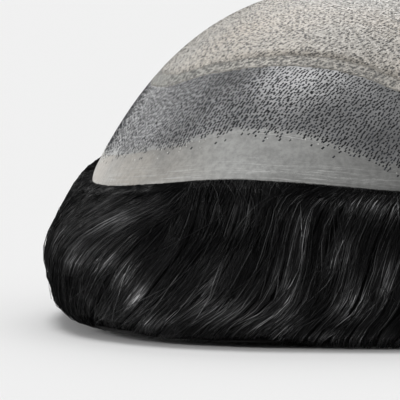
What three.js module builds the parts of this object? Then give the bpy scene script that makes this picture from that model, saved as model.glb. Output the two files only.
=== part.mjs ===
// Toupee hairpiece lying on its hair with the base turned scalp side out.
// Millimetres, +Z up. The front hairline looks along -Y, and the floor is z = 0.
// The base is one dome of four rings: clear border, skin band, net hem and net crown.
// The hair is a curtain of locks round the rim, and a thin layer under the crown.
import * as THREE from 'three';

// Base outline and dome
const BASE_WIDTH = 158;
const BASE_LENGTH = 198;
const FRONT_SQUARENESS = 2.9;
const BACK_SQUARENESS = 2.3;
const RIM_HEIGHT = 36;
const CROWN_RISE = 51.5;
const CROWN_FULLNESS = 0.58;
const RIM_LIFT = 6.5;

// Widths of the rings, measured along the surface, and their walls
const BORDER_WIDTH = 14;
const BAND_WIDTH = 25.8;
const HEM_WIDTH = 4.3;
const SKIN_WALL = 1.0;
const NET_WALL = 1.2;
const PIECE_GAP = 0.3;

// Hair curtain and the hair under the crown
const BULGE_WIDTH = 11.8;
const INSET_WIDTH = 9;
const PUFF_HEIGHT = 3;
const HAIR_CLEARANCE = 0.5;
const ROOT_TUCK = 13;
const ROOT_THICKNESS = 5;
const CROWN_HAIR_THICKNESS = 4;
const LOCK_DEPTH = 3.0;
const FOOT_LENGTH = 3.0;
const SWEEP_ANGLE = 16;
const SWEEP_BIAS = 0.9;
const SWEEP_WAVE = 0.1;
const FIRST_LOCK_ANGLE = -145;
const COLUMNS_PER_LOCK = 3;

// Facets round the dome and along each ring
const DOME_SIDES = 64;
const BORDER_ROWS = 2;
const BAND_ROWS = 3;
const HEM_ROWS = 1;
const NET_ROWS = 6;
const CROWN_HAIR_ROWS = 7;

// Rim line and ring widths by degrees from the front centre, the same on both sides.
// lift is a share of RIM_LIFT, border of BORDER_WIDTH, band of BAND_WIDTH, puff of PUFF_HEIGHT.
const RIM_TABLE = [
  { fromFront: 0, lift: 0.37, border: 0.36, band: 0.98, puff: 0.0 },
  { fromFront: 8, lift: 0.52, border: 0.64, band: 1.0, puff: 0.0 },
  { fromFront: 16, lift: 0.69, border: 0.92, band: 0.95, puff: 0.0 },
  { fromFront: 26, lift: 0.77, border: 1.0, band: 0.91, puff: 0.0 },
  { fromFront: 38, lift: 0.49, border: 0.79, band: 0.96, puff: 0.0 },
  { fromFront: 54, lift: 0.2, border: 0.64, band: 0.84, puff: 0.0 },
  { fromFront: 90, lift: 0.12, border: 0.5, band: 0.86, puff: 0.3 },
  { fromFront: 115, lift: 0.62, border: 0.52, band: 0.84, puff: 0.8 },
  { fromFront: 145, lift: 1.0, border: 0.58, band: 0.84, puff: 1.0 },
  { fromFront: 180, lift: 1.0, border: 0.58, band: 0.84, puff: 0.7 },
];

// Section of the hair curtain from just under the rim to the floor.
// out and inset are shares of BULGE_WIDTH and INSET_WIDTH beyond and inside the outline,
// outHeight and inHeight are shares of the rim's height, relief fades the locks and
// the puff in and out, and fall is how far along its sweep a lock has come.
const CURTAIN_TABLE = [
  { fall: 0.12, out: 0.05, outHeight: 0.968, inset: 1.0, inHeight: 0.8, relief: 0.0, puff: 0.0 },
  { fall: 0.2, out: 0.28, outHeight: 0.95, inset: 0.94, inHeight: 0.7, relief: 0.35, puff: 0.7 },
  { fall: 0.32, out: 0.5, outHeight: 0.83, inset: 0.83, inHeight: 0.6, relief: 0.8, puff: 1.0 },
  { fall: 0.45, out: 0.83, outHeight: 0.66, inset: 0.67, inHeight: 0.48, relief: 1.0, puff: 0.6 },
  { fall: 0.6, out: 1.0, outHeight: 0.47, inset: 0.56, inHeight: 0.35, relief: 1.0, puff: 0.2 },
  { fall: 0.75, out: 0.89, outHeight: 0.26, inset: 0.56, inHeight: 0.2, relief: 0.9, puff: 0.0 },
  { fall: 0.88, out: 0.59, outHeight: 0.1, inset: 0.6, inHeight: 0.08, relief: 0.7, puff: 0.0 },
  { fall: 1.0, out: 0.15, outHeight: 0.0, inset: 0.67, inHeight: 0.0, relief: 0.4, puff: 0.0 },
];

// Tucked roots above the rim, as shares of ROOT_TUCK and ROOT_THICKNESS.
const ROOT_TABLE = [
  { tuck: 1.0, thick: 1.0, fall: 0.0 },
  { tuck: 0.5, thick: 1.2, fall: 0.03 },
  { tuck: -0.03, thick: 1.5, fall: 0.07 },
];

// Ten locks that repeat round the curtain: width in shares of the mean lock,
// depth of LOCK_DEPTH, and reach of FOOT_LENGTH at the floor.
const LOCK_PATTERN = [
  { width: 1.0, depth: 0.8, reach: 0.2 },
  { width: 1.35, depth: 1.0, reach: 0.9 },
  { width: 0.8, depth: 0.6, reach: 0.5 },
  { width: 1.2, depth: 0.9, reach: 0.0 },
  { width: 0.75, depth: 0.5, reach: 0.4 },
  { width: 1.3, depth: 1.0, reach: 1.0 },
  { width: 0.9, depth: 0.7, reach: 0.6 },
  { width: 1.1, depth: 0.9, reach: 0.1 },
  { width: 0.7, depth: 0.5, reach: 0.3 },
  { width: 0.9, depth: 0.8, reach: 0.7 },
];
// Depth of a lock's columns below its crest: the valley, the crest and the far shoulder.
const LOCK_SECTION = [1.0, 0.0, 0.3];

// Locks in each zone, counter-clockwise from FIRST_LOCK_ANGLE.
const HAIR_ZONES = [
  { name: 'front_hair', locks: 12 },
  { name: 'right_side_hair', locks: 8 },
  { name: 'back_hair', locks: 12 },
  { name: 'left_side_hair', locks: 8 },
];

const FULL_TURN = 360;
const FRONT_ANGLE = -90;
const radians = THREE.MathUtils.degToRad;

// Value of one column of RIM_TABLE at a polar angle, on a smooth cubic through its rows.
function rimValue(angle, column) {
  const turned = THREE.MathUtils.euclideanModulo(angle - FRONT_ANGLE, FULL_TURN);
  const fromFront = Math.min(turned, FULL_TURN - turned);
  const last = RIM_TABLE.length - 1;
  let row = 0;
  while (row < last - 1 && RIM_TABLE[row + 1].fromFront <= fromFront) row += 1;
  const slope = (i) => {
    if (i === 0 || i === last) return 0;
    const rise = RIM_TABLE[i + 1][column] - RIM_TABLE[i - 1][column];
    return rise / (RIM_TABLE[i + 1].fromFront - RIM_TABLE[i - 1].fromFront);
  };
  const span = RIM_TABLE[row + 1].fromFront - RIM_TABLE[row].fromFront;
  const u = (fromFront - RIM_TABLE[row].fromFront) / span;
  const start = (2 * u ** 3 - 3 * u ** 2 + 1) * RIM_TABLE[row][column];
  const end = (3 * u ** 2 - 2 * u ** 3) * RIM_TABLE[row + 1][column];
  const leave = (u ** 3 - 2 * u ** 2 + u) * span * slope(row);
  const arrive = (u ** 3 - u ** 2) * span * slope(row + 1);
  return start + end + leave + arrive;
}

const rimHeight = (angle) => RIM_HEIGHT + RIM_LIFT * rimValue(angle, 'lift');
const borderWidth = (angle) => BORDER_WIDTH * rimValue(angle, 'border');
const bandEnd = (angle) => borderWidth(angle) + BAND_WIDTH * rimValue(angle, 'band');
const hemEnd = (angle) => bandEnd(angle) + HEM_WIDTH;

// Radius of the base outline, a superellipse that is squarer at the front.
function outlineRadius(angle) {
  const across = Math.abs(Math.cos(radians(angle)) / (BASE_WIDTH / 2));
  const along = Math.abs(Math.sin(radians(angle)) / (BASE_LENGTH / 2));
  const power = Math.sin(radians(angle)) < 0 ? FRONT_SQUARENESS : BACK_SQUARENESS;
  return (across ** power + along ** power) ** (-1 / power);
}

function polarPoint(angle, radius, height) {
  return new THREE.Vector3(radius * Math.cos(radians(angle)), radius * Math.sin(radians(angle)), height);
}

// Point of the dome's outer surface: share is 1 at the rim and 0 at the crown.
function domePoint(angle, share) {
  const rise = CROWN_RISE * (1 - share ** 2) * (1 + CROWN_FULLNESS * share ** 2);
  const lift = (rimHeight(angle) - RIM_HEIGHT) * share ** 4;
  return polarPoint(angle, outlineRadius(angle) * share, RIM_HEIGHT + lift + rise);
}

// Outward normal of the dome, from two short steps along its surface.
function domeNormal(angle, share) {
  const step = 0.001;
  if (share < step) return new THREE.Vector3(0, 0, 1);
  const here = domePoint(angle, share);
  const round = domePoint(angle + step, share).sub(here);
  const inward = domePoint(angle, share - step).sub(here);
  return round.cross(inward).normalize();
}

// Share of the dome that lies a distance up the surface from the rim.
function shareAtDistance(angle, distance) {
  const step = 0.005;
  let share = 1;
  let walked = 0;
  let here = domePoint(angle, share);
  while (share > step) {
    const next = domePoint(angle, share - step);
    const length = next.distanceTo(here);
    if (walked + length >= distance) return share - step * (distance - walked) / length;
    walked += length;
    share -= step;
    here = next;
  }
  return share;
}

// Point under the dome's surface, a depth along the normal.
function underDome(angle, share, depth) {
  return domePoint(angle, share).addScaledVector(domeNormal(angle, share), -depth);
}

function geometryFrom(points, triangles) {
  const geometry = new THREE.BufferGeometry().setFromPoints(points);
  geometry.setIndex(triangles.flat());
  geometry.computeVertexNormals();
  return geometry;
}

// Closed body from section loops carried round the axis: each column is a loop of
// outer points going down one side and inner points coming back up the other.
// A full ring joins its last column to its first, and an open run has flat-cut ends.
function sweptBody(columns, closedRing) {
  const loop = columns[0].length;
  const half = loop / 2;
  const triangles = [];
  const runs = closedRing ? columns.length : columns.length - 1;
  for (let c = 0; c < runs; c += 1) {
    const here = c * loop;
    const next = ((c + 1) % columns.length) * loop;
    for (let i = 0; i < loop; i += 1) {
      const j = (i + 1) % loop;
      triangles.push([here + i, here + j, next + i], [next + i, here + j, next + j]);
    }
  }
  if (!closedRing) {
    const end = (columns.length - 1) * loop;
    for (let i = 0; i < half - 1; i += 1) {
      const across = loop - 1 - i;
      triangles.push([i, across, across - 1], [i, across - 1, i + 1]);
      triangles.push([end + i, end + across - 1, end + across], [end + i, end + i + 1, end + across - 1]);
    }
  }
  return geometryFrom(columns.flat(), triangles);
}

const domeAngles = Array.from({ length: DOME_SIDES }, (_, i) => i * FULL_TURN / DOME_SIDES);

// Ring of the base between two distances from the rim, with an even wall.
function baseRing(startAt, endAt, rows, wall) {
  const columns = domeAngles.map((angle) => {
    const start = startAt(angle);
    const end = endAt(angle);
    const shares = [];
    for (let row = rows; row >= 0; row -= 1) {
      shares.push(shareAtDistance(angle, start + (end - start) * row / rows));
    }
    const outer = shares.map((share) => domePoint(angle, share));
    const inner = shares.map((share) => underDome(angle, share, wall)).reverse();
    return [...outer, ...inner];
  });
  return sweptBody(columns, true);
}

// Cap of the dome from a distance from the rim up to the crown, between two depths.
function domeCap(startAt, rows, topDepth, bottomDepth) {
  const points = [underDome(0, 0, topDepth), underDome(0, 0, bottomDepth)];
  const rings = [];
  const addRing = (row, depth) => {
    rings.push(points.length);
    for (const angle of domeAngles) {
      const share = shareAtDistance(angle, startAt(angle)) * row / rows;
      points.push(underDome(angle, share, depth));
    }
  };
  for (let row = 1; row <= rows; row += 1) addRing(row, topDepth);
  for (let row = rows; row >= 1; row -= 1) addRing(row, bottomDepth);
  const triangles = [];
  for (let side = 0; side < DOME_SIDES; side += 1) {
    const next = (side + 1) % DOME_SIDES;
    triangles.push([0, rings[0] + side, rings[0] + next]);
    for (let ring = 0; ring < rings.length - 1; ring += 1) {
      const near = rings[ring];
      const far = rings[ring + 1];
      triangles.push([near + side, far + side, near + next], [near + next, far + side, far + next]);
    }
    const lowest = rings[rings.length - 1];
    triangles.push([1, lowest + next, lowest + side]);
  }
  return geometryFrom(points, triangles);
}

// Angle that a lock started at, moved along its sweep: front and back both run to -X.
// side moves the end of a zone away from its neighbour by the gap between them.
function sweptAngle(column, fall) {
  const start = radians(column.angle);
  const reach = SWEEP_ANGLE * Math.sin(start) * (1 - SWEEP_BIAS * Math.cos(start));
  const along = fall + SWEEP_WAVE * Math.sin(2 * Math.PI * fall);
  const swept = column.angle + reach * along;
  return swept + column.side * THREE.MathUtils.radToDeg(PIECE_GAP / outlineRadius(swept));
}

// One section loop of the curtain, from its tucked roots to its feet and back up inside.
function curtainColumn(column) {
  const outer = [];
  const inner = [];
  for (const row of ROOT_TABLE) {
    const angle = sweptAngle(column, row.fall);
    const depth = Math.max(SKIN_WALL, NET_WALL) + HAIR_CLEARANCE;
    const tucked = Math.max(row.tuck, 0) * ROOT_TUCK;
    const below = Math.min(row.tuck, 0) * ROOT_TUCK;
    const share = shareAtDistance(angle, tucked);
    const top = underDome(angle, share, depth);
    const bottom = underDome(angle, share, depth + ROOT_THICKNESS * row.thick);
    top.z += below;
    bottom.z += below;
    outer.push(top);
    inner.push(bottom);
  }
  for (const row of CURTAIN_TABLE) {
    const angle = sweptAngle(column, row.fall);
    const radius = outlineRadius(angle);
    const groove = LOCK_DEPTH * column.valley * row.relief;
    const foot = FOOT_LENGTH * column.reach * row.fall ** 4;
    const out = BULGE_WIDTH * row.out - groove + foot;
    const puff = PUFF_HEIGHT * rimValue(angle, 'puff') * row.puff;
    const height = rimHeight(angle);
    outer.push(polarPoint(angle, radius + out, height * row.outHeight + puff));
    inner.push(polarPoint(angle, radius - INSET_WIDTH * row.inset, height * row.inHeight));
  }
  return [...outer, ...inner.reverse()];
}

// Every column of the curtain, lock after lock.
function curtainColumns() {
  const locks = HAIR_ZONES.reduce((sum, zone) => sum + zone.locks, 0);
  const shape = (i) => LOCK_PATTERN[i % LOCK_PATTERN.length];
  let total = 0;
  for (let i = 0; i < locks; i += 1) total += shape(i).width;
  const columns = [];
  let start = FIRST_LOCK_ANGLE;
  for (let i = 0; i < locks; i += 1) {
    const width = FULL_TURN * shape(i).width / total;
    for (let c = 0; c < COLUMNS_PER_LOCK; c += 1) {
      const valley = LOCK_SECTION[c] * shape(i).depth;
      const reach = c === 0 ? 0 : shape(i).reach;
      columns.push({ angle: start + width * c / COLUMNS_PER_LOCK, valley, reach, side: 0 });
    }
    start += width;
  }
  columns.push({ ...columns[0], angle: columns[0].angle + FULL_TURN });
  return columns;
}

// One zone of the curtain between two valleys, standing off its neighbours at both ends.
function curtainZone(columns, first, last) {
  const run = columns.slice(first, last + 1).map((column) => ({ ...column }));
  run[0].side = 1;
  run[run.length - 1].side = -1;
  return sweptBody(run.map(curtainColumn), false);
}

function named(name, geometry, material) {
  const mesh = new THREE.Mesh(geometry, material);
  mesh.name = name;
  return mesh;
}

const netMaterial = new THREE.MeshStandardMaterial({ color: 0xb2afa8, roughness: 0.85, metalness: 0 });
const hemMaterial = new THREE.MeshStandardMaterial({ color: 0x95948f, roughness: 0.8, metalness: 0 });
const bandMaterial = new THREE.MeshStandardMaterial({ color: 0x747576, roughness: 0.4, metalness: 0 });
const borderMaterial = new THREE.MeshStandardMaterial({ color: 0xa3a2a0, roughness: 0.25, metalness: 0 });
const hairMaterial = new THREE.MeshStandardMaterial({ color: 0x181818, roughness: 0.4, metalness: 0 });

function buildBase() {
  const base = new THREE.Group();
  const rim = () => 0;
  const after = (end) => (angle) => end(angle) + PIECE_GAP;
  base.add(named('clear_border', baseRing(rim, borderWidth, BORDER_ROWS, SKIN_WALL), borderMaterial));
  base.add(named('skin_band', baseRing(after(borderWidth), bandEnd, BAND_ROWS, SKIN_WALL), bandMaterial));
  base.add(named('net_hem', baseRing(after(bandEnd), hemEnd, HEM_ROWS, NET_WALL), hemMaterial));
  base.add(named('net_crown', domeCap(after(hemEnd), NET_ROWS, 0, NET_WALL), netMaterial));
  return base;
}

function buildHair() {
  const hair = new THREE.Group();
  const top = Math.max(SKIN_WALL, NET_WALL) + HAIR_CLEARANCE;
  const start = () => ROOT_TUCK + 2 * PIECE_GAP;
  const layer = domeCap(start, CROWN_HAIR_ROWS, top, top + CROWN_HAIR_THICKNESS);
  hair.add(named('crown_hair', layer, hairMaterial));
  const columns = curtainColumns();
  let first = 0;
  for (const zone of HAIR_ZONES) {
    const last = first + zone.locks * COLUMNS_PER_LOCK;
    hair.add(named(zone.name, curtainZone(columns, first, last), hairMaterial));
    first = last;
  }
  return hair;
}

// The hairpiece, with the middle of its box over the origin.
const hairpiece = new THREE.Group();
hairpiece.add(buildBase(), buildHair());
const middle = new THREE.Box3().setFromObject(hairpiece).getCenter(new THREE.Vector3());
hairpiece.position.set(-middle.x, -middle.y, 0);

export default hairpiece;
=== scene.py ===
"""Dresses a packed toupee hairpiece: net, skin band, clear border, knots and hair.

Metres, +Z up, the front hairline towards -Y, the floor at z = 0. Angles are polar, in degrees,
counter-clockwise from +X, so the front centre is at -90.
"""
import math

import bpy
import numpy as np
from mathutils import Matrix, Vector


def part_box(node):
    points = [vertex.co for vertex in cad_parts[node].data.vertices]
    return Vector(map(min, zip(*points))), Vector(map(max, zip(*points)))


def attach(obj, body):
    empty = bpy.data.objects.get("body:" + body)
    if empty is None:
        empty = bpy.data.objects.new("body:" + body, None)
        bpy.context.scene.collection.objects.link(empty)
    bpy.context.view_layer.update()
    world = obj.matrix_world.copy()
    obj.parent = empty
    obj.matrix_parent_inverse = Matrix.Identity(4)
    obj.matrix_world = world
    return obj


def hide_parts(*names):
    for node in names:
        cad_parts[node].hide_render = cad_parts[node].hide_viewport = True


bl_info = {
    "name": "Toupee Hairpiece",
    "version": (1, 0, 0),
    "blender": (4, 5, 0),
    "location": "View3D > Sidebar > Toupee",
    "description": "Builds the net, skin, knots and hair of a toupee round its solid model",
    "category": "Add Mesh",
}

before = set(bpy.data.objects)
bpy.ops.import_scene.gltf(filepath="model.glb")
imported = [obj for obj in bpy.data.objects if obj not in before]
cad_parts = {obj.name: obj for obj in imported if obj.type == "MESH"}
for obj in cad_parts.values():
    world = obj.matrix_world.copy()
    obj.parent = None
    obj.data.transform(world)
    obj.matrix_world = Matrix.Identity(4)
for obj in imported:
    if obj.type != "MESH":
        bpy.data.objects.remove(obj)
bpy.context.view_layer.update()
RIM_LOW, RIM_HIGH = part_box("clear_border")

MM = 0.001
FRONT_ANGLE = -90.0
HALF_TURN = 180.0
FULL_TURN = 360.0
ALL_ROUND = np.linspace(-HALF_TURN, HALF_TURN, 361)
SEED = 20

# Rim line and ring widths by degrees from the front centre, the same on both sides.
# lift, border, band and puff are shares of the sizes of those names in the settings.
RIM_COLUMNS = ("from_front", "lift", "border", "band", "puff")
RIM_TABLE = np.array([
    (0, 0.37, 0.36, 0.98, 0.0),
    (8, 0.52, 0.64, 1.0, 0.0),
    (16, 0.69, 0.92, 0.95, 0.0),
    (26, 0.77, 1.0, 0.91, 0.0),
    (38, 0.49, 0.79, 0.96, 0.0),
    (54, 0.2, 0.64, 0.84, 0.0),
    (90, 0.12, 0.5, 0.86, 0.3),
    (115, 0.62, 0.52, 0.84, 0.8),
    (145, 1.0, 0.58, 0.84, 1.0),
    (180, 1.0, 0.58, 0.84, 0.7),
])

# Section of the hair curtain. fall is how far along its sweep a lock has come, out and inset
# are shares of the bulge and the inset, heights are shares of the rim's height.
CURTAIN_COLUMNS = ("fall", "out", "out_height", "inset", "in_height", "relief", "puff")
CURTAIN_TABLE = np.array([
    (0.12, 0.05, 0.968, 1.0, 0.8, 0.0, 0.0),
    (0.2, 0.28, 0.95, 0.94, 0.7, 0.35, 0.7),
    (0.32, 0.5, 0.83, 0.83, 0.6, 0.8, 1.0),
    (0.45, 0.83, 0.66, 0.67, 0.48, 1.0, 0.6),
    (0.6, 1.0, 0.47, 0.56, 0.35, 1.0, 0.2),
    (0.75, 0.89, 0.26, 0.56, 0.2, 0.9, 0.0),
    (0.88, 0.59, 0.1, 0.6, 0.08, 0.7, 0.0),
    (1.0, 0.15, 0.0, 0.67, 0.0, 0.4, 0.0),
])
FIRST_FALL = CURTAIN_TABLE[0, 0]

# Tucked roots above the rim: shares of the tuck and of the root thickness, and the fall.
ROOT_TABLE = np.array([(1.0, 1.0, 0.0), (0.5, 1.2, 0.03), (-0.03, 1.5, 0.07)])

# Ten locks that repeat round the curtain: width, and depth of the valley.
LOCK_TABLE = np.array([
    (1.0, 0.8), (1.35, 1.0), (0.8, 0.6), (1.2, 0.9), (0.75, 0.5),
    (1.3, 1.0), (0.9, 0.7), (1.1, 0.9), (0.7, 0.5), (0.9, 0.8),
])
FIRST_LOCK_ANGLE = -145.0

# Hair zones counter-clockwise from the first lock: node and locks.
HAIR_ZONES = (("front_hair", 12), ("right_side_hair", 8), ("back_hair", 12), ("left_side_hair", 8))
LOCK_COUNT = sum(locks for _, locks in HAIR_ZONES)

# Way that combed strands turn round the rim on their fall, by the polar angle that they start at.
# Each row gives the degrees turned by the shares of the fall in FLOW_FALLS, and then how far the
# feet end above the floor, in millimetres.
FLOW_FALLS = np.array([0.12, 0.3, 0.45, 0.6, 0.75, 0.9, 1.0])
FLOW_TABLE = np.array([
    (-180, 0.0, 0.0, -1.0, -2.0, -2.0, -2.0, 2.4),
    (-165, -3.0, -7.0, -10.0, -12.0, -13.0, -13.0, 2.8),
    (-150, -8.0, -16.0, -20.0, -22.0, -23.0, -23.0, 2.6),
    (-138, -10.0, -20.0, -25.0, -27.0, -28.0, -28.0, 2.0),
    (-128, -9.0, -21.0, -27.0, -29.0, -29.0, -29.0, 1.5),
    (-122.5, -3.5, -15.0, -22.0, -25.5, -27.0, -27.0, 1.5),
    (-120, 0.0, -1.5, -5.0, -10.0, -17.0, -20.0, 1.5),
    (-115, -0.3, -1.5, -4.0, -8.0, -13.5, -16.0, 1.5),
    (-111, 0.0, -0.7, -2.7, -7.3, -12.6, -15.0, 1.2),
    (-107, -1.5, -2.2, -3.6, -7.0, -13.0, -15.0, 0.7),
    (-101, -3.5, -4.5, -5.0, -7.0, -12.5, -14.0, 0.5),
    (-96, -2.3, -3.4, -4.2, -6.3, -10.5, -12.0, 0.1),
    (-88, -2.3, -4.0, -5.0, -6.5, -10.0, -11.0, 0.1),
    (-60, -2.0, -4.0, -5.0, -6.5, -9.0, -10.0, 0.2),
    (-25, -1.0, -1.5, -2.0, -2.5, -3.0, -3.0, 0.8),
    (10, 0.0, 0.5, 1.0, 1.0, 1.0, 1.0, 0.5),
    (50, 1.0, 2.5, 4.0, 6.0, 8.0, 9.0, 0.2),
    (90, 2.0, 5.0, 8.0, 11.0, 15.0, 16.0, 0.1),
    (130, 6.0, 12.0, 16.0, 19.0, 21.0, 22.0, 0.6),
    (158, 3.0, 6.0, 8.0, 9.0, 10.0, 10.0, 1.0),
    (180, 0.0, 0.0, -1.0, -2.0, -2.0, -2.0, 2.4),
])

# Painted highlight: places where the combed hair is painted paler, as if it caught the light. Polar angle and
# fall of the middle, reach to each side in degrees and in fall, and strength. They repeat in mirror image on
# the other three quarters.
PAINTED_HIGHLIGHT_TABLE = (
    (-154.0, 0.48, 3.0, 0.06, 0.5),
    (-143.0, 0.56, 3.2, 0.026, 2.4),
    (-134.0, 0.37, 5.5, 0.05, 0.55),
    (-135.5, 0.555, 3.0, 0.026, 2.2),
    (-129.5, 0.62, 2.2, 0.035, 1.2),
    (-126.5, 0.73, 1.6, 0.05, 1.4),
    (-124.5, 0.84, 2.5, 0.028, 1.2),
    (-115.0, 0.64, 1.6, 0.07, 0.45),
    (-115.5, 0.77, 3.0, 0.05, 0.95),
    (-111.5, 0.36, 2.0, 0.07, 0.3),
    (-109.0, 0.82, 4.0, 0.045, 0.95),
    (-106.0, 0.66, 1.5, 0.09, 0.95),
    (-104.5, 0.45, 1.3, 0.1, 0.7),
    (-99.0, 0.5, 1.3, 0.08, 0.75),
    (-97.5, 0.73, 2.2, 0.07, 0.75),
    (-95.5, 0.25, 4.5, 0.05, 0.7),
    (-93.0, 0.62, 1.2, 0.08, 0.5),
    (-104.0, 0.91, 9.0, 0.03, 0.4),
    (-95.0, 0.93, 5.0, 0.03, 0.35),
)
# Middle and half width of the quarter that faces the camera, the degrees over which the painted highlight
# weakens beside it, and the share that it loses.
PAINTED_HIGHLIGHT_QUARTER = (-137.0, 47.0)
PAINTED_HIGHLIGHT_FADE = 10
PAINTED_HIGHLIGHT_LOSS = 0.65

# Strands in five stretches, by name, first and last start angle and number of strands.
STRAND_RUNS = (
    ("front_left_strands", -150.0, -90.0, 2250),
    ("front_right_strands", -90.0, -35.0, 1300),
    ("right_side_strands", -35.0, 35.0, 1150),
    ("back_strands", 35.0, 145.0, 1650),
    ("left_side_strands", 145.0, 210.0, 1400),
)

# Distances from the middle of the width between which the hem starts to stand out from the net.
HEM_FADES = (0.035, 0.055)
# Slant of the threads to the rim, and length and width of a cell of the net and of the hem.
WEAVE_SLANT = math.radians(42)
NET_CELL = (1.3 * MM, 0.72 * MM)
HEM_CELL = (1.6 * MM, 0.7 * MM)
# Cooler and warmer places in the net, as multipliers of its colour.
NET_COOL, NET_WARM = (0.93, 0.93, 0.93), (1.07, 1.01, 0.96)

# Painted light and shade across the width, in stops of decimetres from the middle. The clear border is
# painted darkest in the middle as shade, pale half way to the sides, and palest at the very sides as a
# painted highlight. The band is painted darker towards the middle as shade.
BORDER_PAINTED_LIGHT = ((0.0, 0.44), (0.07, 0.6), (0.2, 0.83), (0.42, 0.93), (0.6, 0.64), (0.71, 0.76), (0.78, 1.1))
BAND_PAINTED_SHADE = ((0.0, 0.55), (0.45, 0.76), (0.75, 1.0))

# Tones of the strokes by their random number. Those of the band are multiples of the knot colour.
BAND_KNOT_TONES = ((0.0, 0.6), (0.7, 1.5), (1.0, 4.0))
# The net's darker strokes are knots; its palest ones are painted glints on the threads.
NET_KNOT_AND_GLINT_TONES = ((0.0, 0.03), (0.5, (0.12, 0.115, 0.1)), (0.7, (0.3, 0.28, 0.25)), (1.0, (0.85, 0.82, 0.77)))
BEAD_TONES = ((0.0, (0.45, 0.45, 0.43)), (1.0, (0.85, 0.85, 0.82)))

# Faces of a stroke's corners: a hipped roof of eight, and a plain one of four.
HIPPED = np.array([(0, 1, 5), (0, 5, 4), (2, 3, 4), (2, 4, 5), (3, 0, 4), (1, 2, 5), (1, 0, 3), (1, 3, 2)])
PLAIN = np.array([(0, 1, 3), (1, 2, 3), (2, 0, 3), (0, 2, 1)])
# How far under the surface a stroke's foot lies, and its ridge's length as a share of its own.
STROKE_FOOT = 0.02 * MM
RIDGE_LENGTH = 0.6
# Height of a rounded edge as a share of the wall, and the share of the rounding that its inside takes.
EDGE_HEIGHT = 1.2
EDGE_INSIDE = 0.3


def number_property(name, description, default, **kind):
    return bpy.props.FloatProperty(name=name, description=description, default=default, **kind)


def length_property(name, description, default):
    return number_property(name, description, default, unit="LENGTH", subtype="DISTANCE", precision=4)


def share_property(name, description, default):
    return number_property(name, description, default, subtype="FACTOR", min=0.0, max=1.0)


def angle_property(name, description, degrees):
    return number_property(name, description, math.radians(degrees), unit="ROTATION", subtype="ANGLE")


def colour_property(name, description, default):
    return bpy.props.FloatVectorProperty(
        name=name, description=description, default=default, subtype="COLOR", size=3, min=0.0, max=1.0)


class BaseSettings(bpy.types.PropertyGroup):
    """Sizes of the domed base, which match the solid model."""
    half_width: length_property("Half width", "Half the base's width", (RIM_HIGH.x - RIM_LOW.x) / 2)
    half_length: length_property("Half length", "Half the base's length", (RIM_HIGH.y - RIM_LOW.y) / 2)
    centre_x: length_property("Centre X", "Axis of the dome", (RIM_HIGH.x + RIM_LOW.x) / 2)
    centre_y: length_property("Centre Y", "Axis of the dome", (RIM_HIGH.y + RIM_LOW.y) / 2)
    front_squareness: number_property("Front squareness", "Power of the outline", 2.9)
    back_squareness: number_property("Back squareness", "Power of the outline", 2.3)
    rim_height: length_property("Rim height", "Lowest point of the rim above the floor", 36 * MM)
    crown_rise: length_property("Crown rise", "Crown above the rim", 51.5 * MM)
    fullness: share_property("Fullness", "How far the dome's flanks fill out", 0.58)
    lift: length_property("Rim lift", "Highest part of the rim above its lowest", 6.5 * MM)
    border: length_property("Border width", "Widest part of the clear border", 14 * MM)
    band: length_property("Band width", "Widest part of the skin band", 25.8 * MM)
    hem: length_property("Hem width", "Width of the net hem", 4.3 * MM)
    wall: length_property("Wall", "Thickness of the skin and net", 0.7 * MM)
    gap: length_property("Gap", "Space between neighbouring pieces", 0.1 * MM)


class FinishSettings(bpy.types.PropertyGroup):
    """Colours and fine sizes of the net, the skin and the knots."""
    net_light: colour_property("Net thread", "Thread of the net", (0.55, 0.52, 0.47))
    net_dark: colour_property("Net hole", "Between the threads", (0.1, 0.097, 0.09))
    hem_colour: colour_property("Hem", "Doubled net edge", (0.235, 0.232, 0.212))
    band_colour: colour_property("Band", "Skin between the knots", (0.285, 0.287, 0.292))
    border_colour: colour_property("Border", "Clear skin", (0.41, 0.412, 0.4))
    border_warm: colour_property("Border patch", "Warm patches in the skin", (0.46, 0.43, 0.385))
    knot_colour: colour_property("Knot", "Knots and roots", (0.012, 0.013, 0.015))
    knot_spacing: length_property("Knot spacing", "Between knots along a row", 0.92 * MM)
    knot_rows: length_property("Row spacing", "Between rows of knots", 0.87 * MM)
    knot_length: length_property("Knot length", "Length of a knot's stroke", 0.8 * MM)
    knot_width: length_property("Knot width", "Width of a knot's stroke", 0.52 * MM)
    knot_lean: angle_property("Knot lean", "Lean of the knots along the rim", 34.0)


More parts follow.
